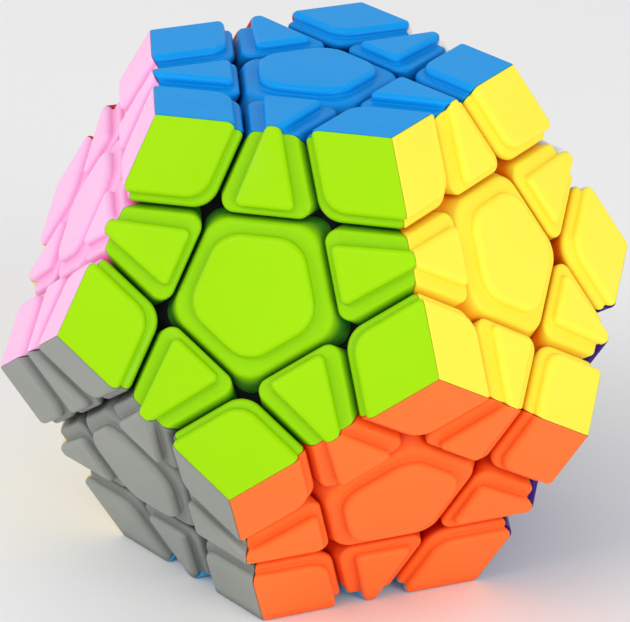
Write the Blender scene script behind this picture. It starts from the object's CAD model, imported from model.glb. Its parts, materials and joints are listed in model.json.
import json
import math

import bmesh
import bpy
import numpy as np
from mathutils import Matrix, Vector

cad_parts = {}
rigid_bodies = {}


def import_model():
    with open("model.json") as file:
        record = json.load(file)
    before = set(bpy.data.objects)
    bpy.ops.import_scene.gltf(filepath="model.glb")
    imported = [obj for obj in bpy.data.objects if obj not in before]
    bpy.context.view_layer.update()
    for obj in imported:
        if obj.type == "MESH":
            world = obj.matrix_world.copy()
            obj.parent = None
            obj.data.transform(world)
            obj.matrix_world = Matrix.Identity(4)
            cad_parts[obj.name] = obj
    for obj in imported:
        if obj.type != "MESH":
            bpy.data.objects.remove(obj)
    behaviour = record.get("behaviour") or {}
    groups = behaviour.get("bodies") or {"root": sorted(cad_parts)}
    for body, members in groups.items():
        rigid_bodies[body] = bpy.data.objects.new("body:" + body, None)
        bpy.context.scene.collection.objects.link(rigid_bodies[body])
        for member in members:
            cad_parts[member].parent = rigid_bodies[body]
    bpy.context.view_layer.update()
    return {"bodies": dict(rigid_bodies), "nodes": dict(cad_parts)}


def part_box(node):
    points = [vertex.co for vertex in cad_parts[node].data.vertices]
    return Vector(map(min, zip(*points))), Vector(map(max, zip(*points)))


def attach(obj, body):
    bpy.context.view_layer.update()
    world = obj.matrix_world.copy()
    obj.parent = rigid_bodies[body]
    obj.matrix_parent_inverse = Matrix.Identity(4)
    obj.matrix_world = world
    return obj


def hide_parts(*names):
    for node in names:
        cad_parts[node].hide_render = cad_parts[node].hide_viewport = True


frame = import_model()

MM = 0.001

# Two neighbouring face axes of a dodecahedron: the cosine and sine of the angle between them,
# and half of that angle.
COS = 1 / math.sqrt(5)
SIN = 2 / math.sqrt(5)
HALF_BEND = math.radians(31.717)
FIFTH = math.radians(72)

# Faces in the order of face_axes().
NAMES = ["blue", "lime", "yellow", "white", "red", "pink",
         "orange", "purple", "green", "cream", "grey", "sky"]

# Sizes in millimetres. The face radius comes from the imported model.
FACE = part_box("blue_cap")[1].z / MM
PLATEAU_RISE = 1.2
LEDGE = FACE - PLATEAU_RISE
# Distances along a layer's axis of the two walls of the gap that bounds it.
CUT_IN, CUT_OUT = 22.38, 22.82
# Ball that the undersides follow, and a level below every underside where the walls start.
SEAT = 31.56
WALL_START = 24.0
# An outline side that runs safely past the face's edge, where the fold then cuts it off.
PAST_EDGE = FACE * (1 - COS) / SIN + 2.2
# Round along a fold, where two tiles of one piece meet, how far below the ledge it is worked,
# and half of the seam between the tiles.
FOLD = 0.45
FOLD_DEPTH = 1.5
SEAM = 0.035
# How far below the ledge and in from the wall the rounded end of a fold reaches, then its radii.
END_DEPTH, END_REACH = 1.1, 3.4
EDGE_END, CORNER_END = 0.35, 0.45
# Ledge widths, then the radii of the ledge rim, the valley and the plateau rim.
LEDGES = {"cap": 1.67, "corner": 1.44, "edge": 1.1}
RADII = {"cap": (0.95, 0.3, 0.82), "corner": (0.7, 0.28, 0.82), "edge": (0.54, 0.22, 0.72)}
# The slanted sides of an edge tile's plateau: their turn and their distance from the axis.
SLANT_TURN, SLANT_SIDE = math.radians(73.4), 6.82
# Rounds of the outlines seen from above: ledge, then plateau. SHARP corners lie past a fold.
SHARP_LEDGE, SHARP_TOP = 0.03, 0.02
# Rounds over SOFT grow or shrink with their outline, down to LEAST_ROUND.
SOFT, LEAST_ROUND = 0.1, 0.02
CAP_ROUNDS = (3.2, 4.2)
EDGE_ROUNDS = (1.7, 0.8)
CORNER_ROUNDS = (4.0, 3.4)
# Steps in the quarter rounds of a tile's profile.
RIM_STEPS, VALLEY_STEPS, TOP_STEPS = 7, 4, 6
# How far in toward the middle each ring of an underside lies, as a share.
UNDERSIDE = (0.22, 0.44, 0.66, 0.85)
# Cuts that give a fold's round its vertices.
FOLD_CUTS, END_CUTS = 6, 5
# Edges sharper than this keep a crease in the shading.
SHARP_ANGLE = math.radians(38)


# ---- camera, made first: the photo's angle ----
def make_camera():
    data = bpy.data.cameras.new("camera")
    cam = bpy.data.objects.new("camera", data)
    bpy.context.scene.collection.objects.link(cam)
    right = Vector((0.9685, 0.2488, 0.0038)).normalized()
    forward = Vector((-0.2244, 0.88, -0.4187)).normalized()
    up = right.cross(forward).normalized()
    right = forward.cross(up).normalized()
    place = Matrix((right, up, -forward)).transposed().to_4x4()
    place.translation = Vector((105.8, -414.1, 196.3)) * MM
    cam.matrix_world = place
    data.sensor_width = 36
    data.lens = 204.3
    data.clip_start = 0.01
    data.clip_end = 20
    bpy.context.scene.camera = cam


make_camera()


# ---- tile prototypes, in millimetres, with the face's axis along +Z ----
def trace(cut, level):
    """Distance from the axis at which a neighbour's cut crosses this level."""
    return (cut - COS * level) / SIN


def crossing(turn_a, dist_a, turn_b, dist_b):
    """The point where two outline sides meet."""
    s = math.sin(turn_b - turn_a)
    return np.array([dist_a * math.sin(turn_b) - dist_b * math.sin(turn_a),
                     dist_b * math.cos(turn_a) - dist_a * math.cos(turn_b)]) / s


def ring(sides, dist, height, radii, arcs, splits):
    """One closed loop: sides are outward turns, dist and height one value a side."""
    n = len(sides)
    runs = []
    for i in range(n):
        j = (i + 1) % n
        a, b = sides[i], sides[j] + (2 * math.pi if j == 0 else 0)
        r = radii[i]
        c = crossing(a, dist[i] - r, b, dist[j] - r)
        runs.append([(c + r * np.array([math.cos(a + (b - a) * t), math.sin(a + (b - a) * t)]),
                      height[i] + (height[j] - height[i]) * t)
                     for t in np.linspace(0, 1, arcs[i] + 1)])
    points = []
    for i in range(n):
        before, run = runs[i - 1], runs[i]
        for t in np.linspace(0, 1, splits[i] + 1)[1:-1]:
            p = before[-1][0] * (1 - t) + run[0][0] * t
            points.append((*p, height[i]))
        points += [(*p, z) for p, z in run]
    return np.array(points)


def loft(kind, sides, ledge, plateau, lean, rounds, top_rounds, arcs, splits, tops=None):
    """Rings from the seat up the wall, over the ledge rim, along the ledge and up to the plateau.

    lean is 1 where a wall widens downward, -1 where it narrows and 0 where a fold cuts it off.
    """
    n = len(sides)
    rim, valley, top_rim = RADII[kind]
    tops = tops or sides
    across = [SIN if w else 1.0 for w in lean]
    upward = [COS * w for w in lean]

    def at(base, x, z, base_rounds, grow, turns=sides):
        radii = [max(r + g, LEAST_ROUND) if r > SOFT else r for r, g in zip(base_rounds, grow)]
        return ring(turns, [b + o for b, o in zip(base, x)], z, radii, arcs, splits)

    def corner_mean(x):
        return [(x[i] + x[(i + 1) % n]) / 2 for i in range(n)]

    def wall(level):
        x = [(LEDGE - level) * up / out for up, out in zip(upward, across)]
        return at(ledge, x, [level] * n, rounds, [0] * n)

    # The walls run down until they meet the ball of the seat.
    feet = []
    for p, q in zip(wall(WALL_START), wall(LEDGE)):
        d = q - p
        a, b, c = d @ d, 2 * p @ d, p @ p - SEAT ** 2
        t = (-b + math.sqrt(max(b * b - 4 * a * c, 0))) / (2 * a)
        feet.append(p + d * t)
    rings = [np.array(feet)]
    for k in range(RIM_STEPS + 1):
        share = 1 - k / RIM_STEPS
        x, z = [], []
        for up, out in zip(upward, across):
            turn = share * math.acos(up)
            x.append(-rim * (1 - up) / out + rim * math.sin(turn))
            z.append(LEDGE - rim + rim * math.cos(turn))
        rings.append(at(ledge, x, z, rounds, corner_mean(x)))
    for k in range(VALLEY_STEPS + 1):
        turn = math.radians(90) * k / VALLEY_STEPS
        x = valley - valley * math.sin(turn)
        z = LEDGE + valley - valley * math.cos(turn)
        rings.append(at(plateau, [x] * n, [z] * n, top_rounds, [x] * n, tops))
    for k in range(TOP_STEPS + 1):
        turn = math.radians(90) * k / TOP_STEPS
        x = -top_rim + top_rim * math.cos(turn)
        z = FACE - top_rim + top_rim * math.sin(turn)
        rings.append(at(plateau, [x] * n, [z] * n, top_rounds, [x] * n, tops))
    return rings


def mesh_of(rings):
    """Skins the rings, closes the top flat and the underside along the ball of the seat."""
    bm = bmesh.new()
    rows = [[bm.verts.new(Vector(p)) for p in r] for r in rings]
    n = len(rows[0])
    for low, high in zip(rows[:-1], rows[1:]):
        for i in range(n):
            j = (i + 1) % n
            bm.faces.new((low[i], low[j], high[j], high[i]))
    bm.faces.new(rows[-1])
    middle = rings[0].mean(axis=0)
    row = rows[0]
    for t in UNDERSIDE:
        inner = [middle * t + p * (1 - t) for p in rings[0]]
        inner = [bm.verts.new(Vector(p * SEAT / np.linalg.norm(p))) for p in inner]
        for i in range(n):
            j = (i + 1) % n
            bm.faces.new((row[j], row[i], inner[i], inner[j]))
        row = inner
    bm.faces.new(list(reversed(row)))
    return bm


def bisector(turn):
    """Normal of the plane halfway to the neighbour face at this turn, and its outward share."""
    n = Vector((SIN * math.cos(turn), SIN * math.sin(turn), COS - 1)).normalized()
    out = Vector((math.cos(turn), math.sin(turn), 0))
    return n, out, out.dot(n)


def cut_along(bm, n, depth, keep_outer=True):
    """Cuts the mesh parallel to a bisector, at this depth below it."""
    everything = list(bm.verts) + list(bm.edges) + list(bm.faces)
    return bmesh.ops.bisect_plane(bm, geom=everything, plane_co=n * -depth, plane_no=n,
                                  clear_outer=not keep_outer, dist=1e-5)


def trim(bm, turn):
    """Ends a tile at the fold toward the neighbour at this turn and rounds the fold."""
    n, out, tilt = bisector(turn)
    got = cut_along(bm, n, SEAM, keep_outer=False)
    loop = [g for g in got["geom_cut"] if isinstance(g, bmesh.types.BMEdge)]
    bmesh.ops.contextual_create(bm, geom=loop)
    flat = FOLD * math.tan(HALF_BEND)
    for k in range(FOLD_CUTS):
        cut_along(bm, n, SEAM + flat * (1 - k / FOLD_CUTS) * tilt)
    squeeze = FOLD * math.sin(HALF_BEND) / flat
    for v in bm.verts:
        if v.co.z < LEDGE - FOLD_DEPTH:
            continue
        d = -(v.co.dot(n) + SEAM) / tilt
        if d < flat - 1e-6:
            inside = flat - max(d, 0)
            v.co += out * (inside * squeeze - inside)
            v.co.z -= FOLD - math.sqrt(FOLD * FOLD - (inside * squeeze) ** 2)


def soften_end(bm, fold, wall, wall_dist, radius):
    """Rounds the end of a fold, where it meets the side toward turn wall."""
    n, _, tilt = bisector(fold)
    along = Vector((-math.sin(fold), math.cos(fold), 0))
    side = Vector((math.cos(wall), math.sin(wall), 0))
    if along.dot(side) < 0:
        along = -along
    for k in range(1, END_CUTS + 1):
        cut_along(bm, n, SEAM + radius * (k / END_CUTS) ** 1.5 * tilt)
    for v in bm.verts:
        d = -(v.co.dot(n) + SEAM) / tilt
        if v.co.z > LEDGE - END_DEPTH and d < radius and wall_dist - v.co.dot(side) < END_REACH:
            d = max(d, 0)
            v.co -= along * (radius - math.sqrt(radius * radius - (radius - d) ** 2))


def clean(bm):
    bmesh.ops.remove_doubles(bm, verts=bm.verts, dist=0.004)
    bmesh.ops.dissolve_degenerate(bm, edges=bm.edges, dist=0.002)
    bmesh.ops.recalc_face_normals(bm, faces=bm.faces)
    bmesh.ops.triangulate(bm, faces=[f for f in bm.faces if len(f.verts) > 4])


WALL_IN, WALL_OUT = trace(CUT_IN, LEDGE), trace(CUT_OUT, LEDGE)


def cap_mesh():
    """Centre cap: five walls that widen downward."""
    ledge_round, top_round = CAP_ROUNDS
    return mesh_of(loft("cap", [i * FIFTH for i in range(5)],
                        ledge=[WALL_IN] * 5, plateau=[WALL_IN - LEDGES["cap"]] * 5, lean=[1] * 5,
                        rounds=[ledge_round] * 5, top_rounds=[top_round] * 5,
                        arcs=[10] * 5, splits=[3] * 5))


def edge_mesh():
    """Edge tile: the partner face lies at turn 0 and the face's centre at 180 degrees."""
    ledge_round, top_round = EDGE_ROUNDS
    inner = -WALL_OUT - LEDGES["edge"]
    bm = mesh_of(loft("edge", [-FIFTH, 0, FIFTH, math.pi],
                      ledge=[WALL_IN, PAST_EDGE, WALL_IN, -WALL_OUT],
                      plateau=[SLANT_SIDE, PAST_EDGE, SLANT_SIDE, inner], lean=[1, 0, 1, -1],
                      rounds=[SHARP_LEDGE, SHARP_LEDGE, ledge_round, ledge_round],
                      top_rounds=[SHARP_TOP, SHARP_TOP, top_round, top_round],
                      arcs=[1, 1, 9, 9], splits=[3, 1, 3, 3],
                      tops=[-SLANT_TURN, 0, SLANT_TURN, math.pi]))
    trim(bm, 0)
    for turn in (-FIFTH, FIFTH):
        soften_end(bm, 0, turn, WALL_IN, EDGE_END)
    return bm


def corner_mesh():
    """Corner tile: the partner faces lie at turns of half a fifth to either side."""
    ledge_round, top_round = CORNER_ROUNDS
    half = math.radians(36)
    inner = -WALL_OUT - LEDGES["corner"]
    bm = mesh_of(loft("corner", [-half, half, math.pi - half, math.pi + half],
                      ledge=[PAST_EDGE, PAST_EDGE, -WALL_OUT, -WALL_OUT],
                      plateau=[PAST_EDGE, PAST_EDGE, inner, inner], lean=[0, 0, -1, -1],
                      rounds=[SHARP_LEDGE, SHARP_LEDGE, ledge_round, SHARP_LEDGE],
                      top_rounds=[SHARP_TOP, SHARP_TOP, top_round, SHARP_TOP],
                      arcs=[1, 1, 10, 1], splits=[1, 1, 3, 3]))
    for fold in (half, -half):
        trim(bm, fold)
    for fold in (half, -half):
        soften_end(bm, fold, math.copysign(math.pi - half, fold), -WALL_OUT, CORNER_END)
    return bm


protos = {"cap": cap_mesh(), "edge": edge_mesh(), "corner": corner_mesh()}
for proto in protos.values():
    clean(proto)


# ---- directions, as in the CAD ----
def face_axes():
    """Top face, the five round it, the five round the bottom face, and the bottom face."""
    polar = math.acos(COS)
    turns = [(0, 0)] + [(polar, math.radians(-90 + 72 * i)) for i in range(5)]
    turns += [(math.pi - polar, math.radians(-54 + 72 * i)) for i in range(5)] + [(math.pi, 0)]
    return [Vector((math.sin(p) * math.cos(a), math.sin(p) * math.sin(a), math.cos(p)))
            for p, a in turns]


AXES = face_axes()
FACES = range(len(AXES))
LAYERS = [NAMES.index(b[:-len("_layer")]) for b in frame["bodies"] if b.endswith("_layer")]


def near(i, j):
    """True if two faces share an edge: their axes are 63.4 degrees apart, the next are 116.6."""
    return i != j and AXES[i].dot(AXES[j]) > 0.3


def basis(z, toward):
    """Turns +Z to a face's axis and +X toward another direction."""
    z = z.normalized()
    y = z.cross(toward).normalized()
    return Matrix((y.cross(z), y, z)).transposed().to_4x4()


# ---- materials ----
COLOURS = {
    "blue": (0.0, 0.32, 0.82), "lime": (0.325, 0.67, 0.0), "yellow": (1.0, 0.83, 0.065),
    "white": (0.86, 0.86, 0.84), "red": (0.62, 0.012, 0.02), "pink": (1.0, 0.52, 0.82),
    "orange": (1.0, 0.18, 0.03), "purple": (0.05, 0.012, 0.2), "green": (0.0, 0.13, 0.03),
    "cream": (0.88, 0.76, 0.4), "grey": (0.285, 0.30, 0.275), "sky": (0.11, 0.52, 0.88)}

# Tone of the ledges, the colour that light takes deep between the tiles, and how much of that
# colour a crease takes.
DEPTHS = {
    "blue": (0.94, (0.0, 0.045, 0.24), 0.35), "lime": (0.95, (0.0, 0.17, 0.01), 0.3),
    "yellow": (0.97, (1.0, 0.34, 0.0), 0.08), "white": (0.95, (0.4, 0.4, 0.42), 0.3),
    "red": (0.93, (0.16, 0.0, 0.002), 0.4), "pink": (0.95, (0.92, 0.10, 0.36), 0.45),
    "orange": (0.97, (0.85, 0.035, 0.0), 0.35), "purple": (0.93, (0.012, 0.002, 0.05), 0.4),
    "green": (0.93, (0.0, 0.025, 0.006), 0.4), "cream": (0.95, (0.6, 0.45, 0.17), 0.25),
    "grey": (0.9, (0.025, 0.028, 0.025), 0.5), "sky": (0.93, (0.01, 0.13, 0.3), 0.35)}
# A deep colour with a part brighter than this shines through onto the feet.
SHINES = 0.5


class Graph:
    """A material's node tree, with short calls for the nodes used here."""

    def __init__(self, mat):
        mat.use_nodes = True
        self.nodes = mat.node_tree.nodes
        self.links = mat.node_tree.links
        self.nodes.clear()
        output = self.nodes.new("ShaderNodeOutputMaterial")
        self.shader = self.nodes.new("ShaderNodeBsdfPrincipled")
        self.links.new(self.shader.outputs[0], output.inputs[0])
        self.place = self.nodes.new("ShaderNodeTexCoord").outputs["Object"]

    def noise(self, scale, detail, roughness=0.5):
        node = self.nodes.new("ShaderNodeTexNoise")
        node.inputs["Scale"].default_value = scale
        node.inputs["Detail"].default_value = detail
        node.inputs["Roughness"].default_value = roughness
        self.links.new(self.place, node.inputs["Vector"])
        return node.outputs["Fac"]

    def ramp(self, source, start, end, low, high):
        node = self.nodes.new("ShaderNodeMapRange")
        node.inputs["From Min"].default_value = start
        node.inputs["From Max"].default_value = end
        node.inputs["To Min"].default_value = low
        node.inputs["To Max"].default_value = high
        self.links.new(source, node.inputs["Value"])
        return node.outputs["Result"]

    def along(self, vector, axis):
        """How far a vector reaches along an axis."""
        node = self.nodes.new("ShaderNodeVectorMath")
        node.operation = "DOT_PRODUCT"
        self.links.new(vector, node.inputs[0])
        node.inputs[1].default_value = axis
        return node.outputs["Value"]

    def blend(self, factor, base, tone):
        """Goes from base, a colour or another node's output, to the colour tone."""
        node = self.nodes.new("ShaderNodeMix")
        node.data_type = "RGBA"
        self.links.new(factor, node.inputs["Factor"])
        if isinstance(base, bpy.types.NodeSocket):
            self.links.new(base, node.inputs["A"])
        else:
            node.inputs["A"].default_value = (*base, 1)
        node.inputs["B"].default_value = (*tone, 1)
        return node.outputs["Result"]

    def bump(self, height, strength, distance, over=None):
        node = self.nodes.new("ShaderNodeBump")
        node.inputs["Strength"].default_value = strength
        node.inputs["Distance"].default_value = distance
        self.links.new(height, node.inputs["Height"])
        if over is not None:
            self.links.new(over, node.inputs["Normal"])
        return node.outputs["Normal"]


def deepen(graph, base, colour, axis, depths):
    """The plastic looks deeper on the ledges, in the gaps and in creases."""
    ledge_tone, deep, share = depths
    height = graph.along(graph.place, axis)
    steps = ((FACE - 0.6, LEDGE + 0.05, [ledge_tone * v ** 1.08 for v in colour]),
             (LEDGE - 0.3, LEDGE - 1.8, deep))
    for top, bottom, tone in steps:
        base = graph.blend(graph.ramp(height, top * MM, bottom * MM, 0, 1), base, tone)
    hollow = graph.nodes.new("ShaderNodeAmbientOcclusion")
    hollow.samples = 8
    hollow.inputs["Distance"].default_value = 1.7 * MM
    return graph.blend(graph.ramp(hollow.outputs["AO"], 0.95, 0.3, 0, share), base, deep)


def shine_through(graph, base, glow):
    """Light that comes through pale tiles tints the feet below them."""
    ray = graph.nodes.new("ShaderNodeVectorMath")
    ray.operation = "NORMALIZE"
    graph.links.new(graph.place, ray.inputs[0])
    for axis, tone in glow:
        cone = graph.along(ray.outputs["Vector"], axis)
        base = graph.blend(graph.ramp(cone, 0.87, 0.92, 0, 0.95), base, tone)
    return base


def rub(graph, base, colour):
    """Handling wear: the outer rims are rubbed a little paler, in patches."""
    geometry = graph.nodes.new("ShaderNodeNewGeometry")
    worn = graph.nodes.new("ShaderNodeMath")
    worn.operation = "MULTIPLY"
    rims = graph.ramp(geometry.outputs["Pointiness"], 0.52, 0.62, 0, 0.35)
    graph.links.new(rims, worn.inputs[0])
    graph.links.new(graph.ramp(graph.noise(scale=320, detail=3), 0.4, 0.62, 0.25, 1), worn.inputs[1])
    return graph.blend(worn.outputs[0], base, [min(v * 0.92 + 0.06, 1) for v in colour])


def moulded(name, colour, rough=0.34, scatter=0.12, grain=0.05, metallic=0.0, axis=None, depths=None,
            glow=()):
    """Moulded plastic, or steel if metallic. A tile also gives its face's axis and its DEPTHS."""
    mat = bpy.data.materials.new(name)
    graph = Graph(mat)
    shader = graph.shader
    cloud = graph.ramp(graph.noise(scale=38, detail=3), 0.3, 0.7, 0, 1)
    base = graph.blend(cloud, [v * 0.965 for v in colour], [min(v * 1.02, 1) for v in colour])
    if axis is not None:
        base = deepen(graph, base, colour, axis, depths)
    if glow:
        base = shine_through(graph, base, glow)
    graph.links.new(rub(graph, base, colour), shader.inputs["Base Color"])
    uneven = graph.noise(scale=150, detail=4, roughness=0.6)
    patches = graph.ramp(uneven, 0.3, 0.7, rough - 0.05, rough + 0.06)
    graph.links.new(patches, shader.inputs["Roughness"])
    shader.inputs["Metallic"].default_value = metallic
    shader.inputs["IOR"].default_value = 1.5
    shader.inputs["Specular IOR Level"].default_value = 0.5 if metallic else 0.1
    if scatter:
        shader.inputs["Subsurface Weight"].default_value = scatter
        shader.inputs["Subsurface Radius"].default_value = (1.0, 1.0, 1.0)
        shader.inputs["Subsurface Scale"].default_value = 1.2 * MM
    # Fine spark-eroded grain under a very faint sink.
    fine = graph.bump(graph.noise(scale=2600, detail=2), strength=grain, distance=0.1 * MM)
    sink = graph.bump(graph.noise(scale=90, detail=1), strength=0.12, distance=0.6 * MM, over=fine)
    graph.links.new(sink, shader.inputs["Normal"])
    return mat


def paint_mechanism():
    """Gives every carried-over CAD node its material."""
    glow = [(a, DEPTHS[n][1]) for n, a in zip(NAMES, AXES) if max(DEPTHS[n][1]) > SHINES]
    dark = moulded("plastic_mechanism", (0.018, 0.018, 0.02), rough=0.45, scatter=0, grain=0.1, glow=glow)
    core = moulded("plastic_core", (0.06, 0.06, 0.07), rough=0.5, scatter=0, grain=0.12)
    steel = moulded("steel", (0.55, 0.56, 0.58), rough=0.3, scatter=0, grain=0.08, metallic=1.0)
    for name, obj in frame["nodes"].items():
        if name == "core":
            mat = core
        elif name in ("centre_screws", "washers", "springs"):
            mat = steel
        elif name.endswith(("_centre_bodies", "_centre_body", "_feet")):
            mat = dark
        else:
            mat = paints[[n for n in NAMES if n in name.split("_")][-1]]
        obj.data.materials.clear()
        obj.data.materials.append(mat)


paints = {n: moulded("plastic_" + n, COLOURS[n], axis=a, depths=DEPTHS[n])
          for n, a in zip(NAMES, AXES)}
paint_mechanism()


# ---- tiles ----
def tile(kind, face, toward, name, body, node):
    """One coloured tile, in place of its share of a CAD node."""
    bm = protos[kind].copy()
    bm.transform(Matrix.Scale(MM, 4) @ basis(AXES[face], toward))
    mesh = bpy.data.meshes.new(name)
    bm.to_mesh(mesh)
    bm.free()
    mesh.materials.append(paints[NAMES[face]])
    mesh.shade_smooth()
    mesh.set_sharp_from_angle(angle=SHARP_ANGLE)
    obj = bpy.data.objects.new(name, mesh)
    bpy.context.scene.collection.objects.link(obj)
    soft = obj.modifiers.new("normals", "WEIGHTED_NORMAL")
    soft.keep_sharp = True
    soft.weight = 80
    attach(obj, body)
    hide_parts(node)


def place_cap(face):
    neighbour = next(j for j in FACES if near(face, j))
    body = NAMES[face] + "_layer" if face in LAYERS else "fixed"
    tile("cap", face, AXES[neighbour], NAMES[face] + "_cap_tile", body, NAMES[face] + "_cap")


def place_piece(kind, members):
    """The tiles of one edge or corner piece, which turns with the layer that it belongs to."""
    layer = next((f for f in LAYERS if f in members), None)
    toward = sum((AXES[m] for m in members), Vector())
    for i in members:
        others = [NAMES[m] for m in members if m != i]
        name = "_".join([NAMES[i], kind, "tile", *others])
        if layer is None:
            body, node = "fixed", "rest_" + NAMES[i] + "_tiles"
        elif layer == i:
            body, node = NAMES[i] + "_layer", NAMES[i] + "_" + kind + "_tiles"
        else:
            body, node = NAMES[layer] + "_layer", NAMES[layer] + "_layer_" + NAMES[i] + "_tiles"
        tile(kind, i, toward, name, body, node)


for i in FACES:
    place_cap(i)
for i in FACES:
    for j in FACES[i + 1:]:
        if near(i, j):
            place_piece("edge", [i, j])
            for k in FACES[j + 1:]:
                if near(i, k) and near(j, k):
                    place_piece("corner", [i, j, k])


# ---- stage: pale floor and soft light, in metres ----
FLOOR_HALF = 3.0
# Where each lamp stands, its diameter and its power in watts. All point at the puzzle.
LAMPS = {
    "key": ((-0.35, -0.7, 0.85), 0.5, 2.7),
    "fill": ((0.8, -0.6, 0.3), 0.6, 3.6),
    "low": ((0.1, -0.9, 0.05), 0.7, 1.4),
    "side": ((-0.9, -0.3, 0.35), 0.6, 1.8)}


def make_floor():
    bm = bmesh.new()
    for x, y in ((-1, -1), (1, -1), (1, 1), (-1, 1)):
        bm.verts.new((x * FLOOR_HALF, y * FLOOR_HALF, -FACE * MM))
    bm.faces.new(bm.verts)
    mesh = bpy.data.meshes.new("floor")
    bm.to_mesh(mesh)
    bm.free()
    floor = bpy.data.objects.new("floor", mesh)
    bpy.context.scene.collection.objects.link(floor)
    mat = bpy.data.materials.new("floor_paper")
    mat.use_nodes = True
    shader = mat.node_tree.nodes["Principled BSDF"]
    shader.inputs["Roughness"].default_value = 0.8
    shader.inputs["Base Color"].default_value = (0.92, 0.92, 0.92, 1)
    shader.inputs["Specular IOR Level"].default_value = 0.2
    mesh.materials.append(mat)


def make_light():
    scene = bpy.context.scene
    world = bpy.data.worlds.new("world")
    scene.world = world
    world.use_nodes = True
    back = world.node_tree.nodes["Background"]
    back.inputs["Color"].default_value = (1, 1, 1, 1)
    back.inputs["Strength"].default_value = 0.66
    for name, (where, size, power) in LAMPS.items():
        data = bpy.data.lights.new(name, "AREA")
        data.shape = "DISK"
        data.size = size
        data.energy = power
        lamp = bpy.data.objects.new(name, data)
        scene.collection.objects.link(lamp)
        where = Vector(where)
        aim = (-where).to_track_quat("-Z", "Y").to_matrix().to_4x4()
        lamp.matrix_world = Matrix.Translation(where) @ aim
    scene.view_settings.view_transform = "Standard"


make_floor()
make_light()
